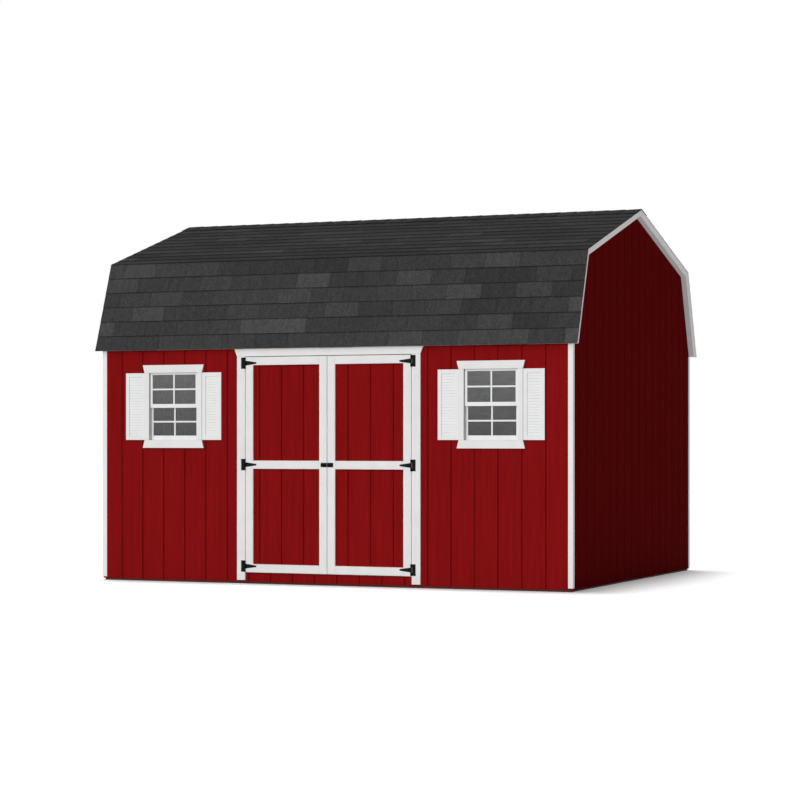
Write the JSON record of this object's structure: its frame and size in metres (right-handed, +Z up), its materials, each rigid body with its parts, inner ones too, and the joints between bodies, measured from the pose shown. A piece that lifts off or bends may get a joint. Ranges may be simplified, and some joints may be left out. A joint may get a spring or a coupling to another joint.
{
  "type": "gambrel barn-style storage shed",
  "caption": "Red wooden storage shed built like a small barn, with a gambrel shingle roof, white trim, hinged double doors and shuttered windows in its long front.",
  "frame": {"origin": "middle of the base, on the ground", "axes": "+X along the long front to its right, -Y out of the front with the doors, +Z up"},
  "size_m": [4.383, 3.45, 3.1932],
  "materials": {
    "red_siding": "satin barn-red paint on grooved panel siding",
    "white_trim": "satin white paint on flat boards",
    "white_vinyl": "moulded white window frames and louvred shutters",
    "window_glass": "clear flat panes",
    "shingles": "charcoal mineral granules on asphalt strips with tabs",
    "bare_timber": "planed softwood, unpainted",
    "treated_timber": "dark treated softwood, unpainted",
    "sheathing_board": "unpainted sheet board",
    "black_iron": "satin black coated strap hinges and latch"
  },
  "bodies": {
    "shed": {"back_roof_deck": "sheathing_board", "back_roof_shingles": "shingles", "back_siding": "red_siding", "back_wall_frame": "bare_timber", "corner_trims": "white_trim", "door_casings": "white_trim", "door_header": "white_trim", "door_hinge_plates": "black_iron", "floor_deck": "sheathing_board", "floor_frame": "treated_timber", "front_left_siding": "red_siding", "front_right_siding": "red_siding", "front_roof_deck": "sheathing_board", "front_roof_shingles": "shingles", "front_wall_frame": "bare_timber", "left_gable_frame": "bare_timber", "left_gable_siding": "red_siding", "left_rake_boards": "white_trim", "left_window_frame": "white_vinyl", "left_window_glass": "window_glass", "left_window_shutters": "white_vinyl", "left_window_trim": "white_trim", "over_door_siding": "red_siding", "ridge_board": "bare_timber", "ridge_cap": "shingles", "right_gable_frame": "bare_timber", "right_gable_siding": "red_siding", "right_rake_boards": "white_trim", "right_window_frame": "white_vinyl", "right_window_glass": "window_glass", "right_window_shutters": "white_vinyl", "right_window_trim": "white_trim", "roof_rafters": "bare_timber", "roof_soffits": "white_trim", "under_door_siding": "red_siding"},
    "left_door": {"left_door_back_frame": "bare_timber", "left_door_hinge_straps": "black_iron", "left_door_latch": "black_iron", "left_door_panel": "red_siding", "left_door_trim": "white_trim"},
    "right_door": {"right_door_back_frame": "bare_timber", "right_door_hinge_straps": "black_iron", "right_door_latch": "black_iron", "right_door_panel": "red_siding", "right_door_trim": "white_trim"}
  },
  "joints": [
    {"name": "left_door_hinge", "type": "hinge", "parent": "shed", "child": "left_door", "pos_m": [-0.7565, -1.7015, 1], "axis": [0, 0, -1], "range_deg": [0, 170]},
    {"name": "right_door_hinge", "type": "hinge", "parent": "shed", "child": "right_door", "pos_m": [0.7565, -1.7015, 1], "axis": [0, 0, 1], "range_deg": [0, 170]}
  ]
}
